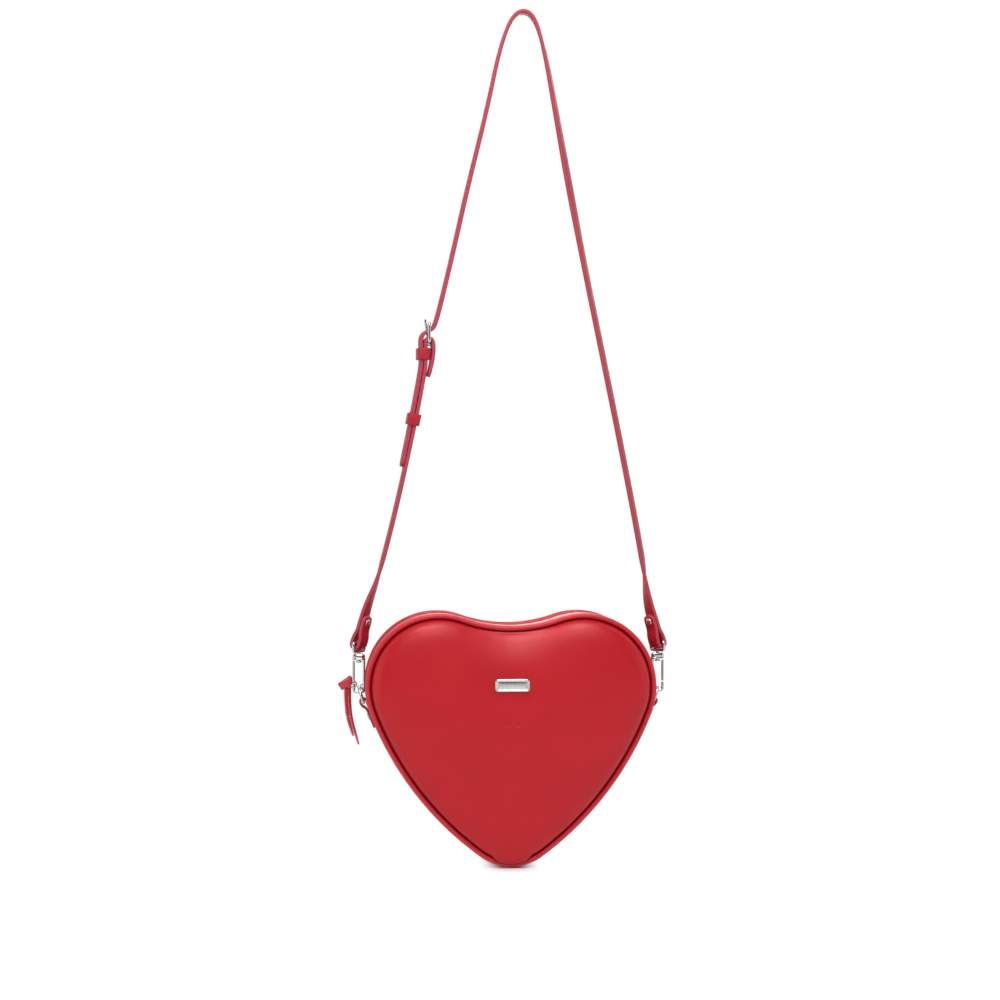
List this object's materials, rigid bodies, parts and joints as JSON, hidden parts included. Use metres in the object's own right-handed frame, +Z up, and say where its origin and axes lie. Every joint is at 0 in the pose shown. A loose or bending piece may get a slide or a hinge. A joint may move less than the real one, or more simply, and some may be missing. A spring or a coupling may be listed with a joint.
{
  "type": "heart shaped purse",
  "caption": "Padded heart-shaped leather shoulder purse with piped seams, a zip over the top, side rings and an adjustable buckled strap clipped on by swivel hooks.",
  "frame": {"origin": "underside of the strap's crown, where a peg, a hook or a shoulder carries the purse", "axes": "+Z up, front of the purse faces -Y, +X to the right as seen from the front"},
  "size_m": [0.2283, 0.0717, 0.5961],
  "materials": {
    "bag_leather": "smooth, softly polished",
    "piping_leather": "smooth, rolled over a cord",
    "strap_leather": "smooth with dyed edges",
    "padding": "open-cell foam",
    "piping_core": "twisted cotton cord",
    "lining_cloth": "plain woven cloth",
    "zip_tape": "woven tape",
    "zip_metal": "nickel plated",
    "badge_metal": "polished, plain",
    "nickel": "polished nickel plate"
  },
  "bodies": {
    "strap": {"strap_long": "strap_leather", "strap_short": "strap_leather", "strap_rivets": "nickel", "fixed_keeper": "strap_leather", "hook_eye_left": "nickel", "hook_eye_right": "nickel"},
    "buckle": {"buckle_frame": "nickel"},
    "prong": {"buckle_prong": "nickel"},
    "keeper": {"sliding_keeper": "strap_leather"},
    "ring_left": {"d_ring_left": "nickel"},
    "ring_right": {"d_ring_right": "nickel"},
    "slider": {"zip_slider": "nickel"},
    "pull": {"zip_pull": "nickel"},
    "thong": {"pull_thong": "strap_leather"},
    "hook_left": {"hook_body_left": "nickel", "gate_pin_left": "nickel", "gate_spring_left": "nickel"},
    "gate_left": {"hook_gate_left": "nickel"},
    "hook_right": {"hook_body_right": "nickel", "gate_pin_right": "nickel", "gate_spring_right": "nickel"},
    "gate_right": {"hook_gate_right": "nickel"},
    "bag": {"front_panel": "bag_leather", "back_panel": "bag_leather", "front_foam": "padding", "back_foam": "padding", "front_lining": "lining_cloth", "back_lining": "lining_cloth", "zip_gusset_front": "bag_leather", "zip_gusset_back": "bag_leather", "front_piping": "piping_leather", "front_piping_cord": "piping_core", "back_piping": "piping_leather", "back_piping_cord": "piping_core", "inner_pocket": "lining_cloth", "badge_plate": "badge_metal", "badge_washers": "nickel", "zip_tape_front": "zip_tape", "zip_chain_front": "zip_metal", "zip_tape_back": "zip_tape", "zip_chain_back": "zip_metal", "zip_stops": "zip_metal", "side_tab_left": "strap_leather", "side_tab_right": "strap_leather", "tab_rivets": "nickel", "bottom_gusset": "bag_leather", "gusset_lining": "lining_cloth"}
  },
  "joints": [
    {"name": "bag_swing", "type": "hinge", "parent": "strap", "child": "bag", "pos_m": [-0.0103, 0, -0.474], "axis": [1, 0, 0], "range_deg": [-30, 30]},
    {"name": "hook_swivel_left", "type": "hinge", "parent": "strap", "child": "hook_left", "pos_m": [-0.1151, 0, -0.474], "axis": [0, 0, 1], "range_deg": [-20, 20]},
    {"name": "gate_left_open", "type": "hinge", "parent": "hook_left", "child": "gate_left", "pos_m": [-0.11815, 0, -0.4507], "axis": [0, -1, 0], "range_deg": [0, 14], "stiffness_Nm_per_rad": 0.02, "springref_deg": -11.46},
    {"name": "ring_left_tilt", "type": "hinge", "parent": "bag", "child": "ring_left", "pos_m": [-0.11186, 0, -0.48139], "axis": [0, -1, 0], "range_deg": [-6, 2]},
    {"name": "hook_swivel_right", "type": "hinge", "parent": "strap", "child": "hook_right", "pos_m": [0.0945, 0, -0.474], "axis": [0, 0, 1], "range_deg": [-20, 20]},
    {"name": "gate_right_open", "type": "hinge", "parent": "hook_right", "child": "gate_right", "pos_m": [0.09755, 0, -0.4507], "axis": [0, 1, 0], "range_deg": [0, 14], "stiffness_Nm_per_rad": 0.02, "springref_deg": -11.46},
    {"name": "ring_right_tilt", "type": "hinge", "parent": "bag", "child": "ring_right", "pos_m": [0.09126, 0, -0.48139], "axis": [0, 1, 0], "range_deg": [-6, 2]},
    {"name": "zip_travel", "type": "hinge", "parent": "bag", "child": "slider", "pos_m": [-0.0601, 0.012, -0.46953], "axis": [0, 1, 0], "range_deg": [0, 97]},
    {"name": "pull_swing", "type": "hinge", "parent": "slider", "child": "pull", "pos_m": [-0.11261, 0.012, -0.47262], "axis": [0, 1, 0], "range_deg": [-10, 16]},
    {"name": "thong_swing", "type": "hinge", "parent": "pull", "child": "thong", "pos_m": [-0.11841, 0.012, -0.46991], "axis": [0, 1, 0], "range_deg": [-6, 20]},
    {"name": "buckle_tilt", "type": "hinge", "parent": "strap", "child": "buckle", "pos_m": [-0.0662, 0, -0.2307], "axis": [0, 1, 0], "range_deg": [-3, 3]},
    {"name": "prong_lift", "type": "hinge", "parent": "buckle", "child": "prong", "pos_m": [-0.0662, 0, -0.2307], "axis": [0, -1, 0], "range_deg": [0, 6]},
    {"name": "keeper_slide", "type": "slide", "parent": "strap", "child": "keeper", "axis": [-0.2025, 0, -0.9793], "range_m": [-0.02, 0.02]}
  ]
}
